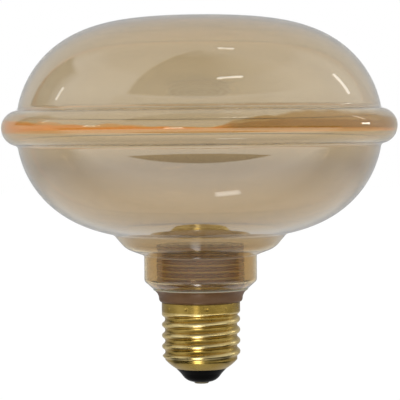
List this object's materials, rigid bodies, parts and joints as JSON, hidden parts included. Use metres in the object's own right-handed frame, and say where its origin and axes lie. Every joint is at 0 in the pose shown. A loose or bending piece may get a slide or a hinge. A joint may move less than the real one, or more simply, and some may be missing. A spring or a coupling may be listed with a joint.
{
  "type": "led bulb",
  "caption": "Saucer-shaped LED bulb: smoked amber blown glass with a roll around its widest part, a clear ribbed lens in its neck and a brass screw cap.",
  "frame": {"origin": "tip of the centre contact, on the bulb's axis", "axes": "+Z along the bulb's axis from the contact to the top of the glass dome; -Y faces the camera"},
  "size_m": [0.1324, 0.1324, 0.1232],
  "materials": {
    "amber_glass": "clear smoked amber, fire polished",
    "silicone": "matt",
    "clear_plastic": "clear moulded, glossy",
    "brown_plastic": "satin moulded",
    "cap_brass": "bright rolled",
    "black_insulator": "glossy black",
    "contact_metal": "tinned",
    "aluminium": "drawn",
    "white_board": "white solder mask",
    "phosphor": "silicone phosphor",
    "pin_brass": "plated",
    "solder": "bright solder",
    "green_board": "green solder mask",
    "capacitor_sleeve": "shrink sleeve",
    "ferrite": "ground ferrite",
    "copper_wire": "enamelled wire",
    "black_resin": "moulded resin",
    "resistor_coat": "painted",
    "tinned_wire": "tinned copper"
  },
  "bodies": {
    "root": {"glass_envelope": "amber_glass", "neck_adhesive": "silicone", "ring_lens": "clear_plastic", "housing": "brown_plastic", "screw_shell": "cap_brass", "cap_insulator": "black_insulator", "centre_contact": "contact_metal", "heat_cup": "aluminium", "led_board": "white_board", "led_chips": "phosphor", "led_pins": "pin_brass", "solder_joints": "solder", "driver_board": "green_board", "input_capacitor": "capacitor_sleeve", "output_capacitor": "capacitor_sleeve", "inductor_core": "ferrite", "inductor_winding": "copper_wire", "bridge_rectifier": "black_resin", "driver_chip": "black_resin", "fuse_resistor": "resistor_coat", "live_lead": "tinned_wire", "neutral_lead": "tinned_wire"}
  },
  "joints": []
}
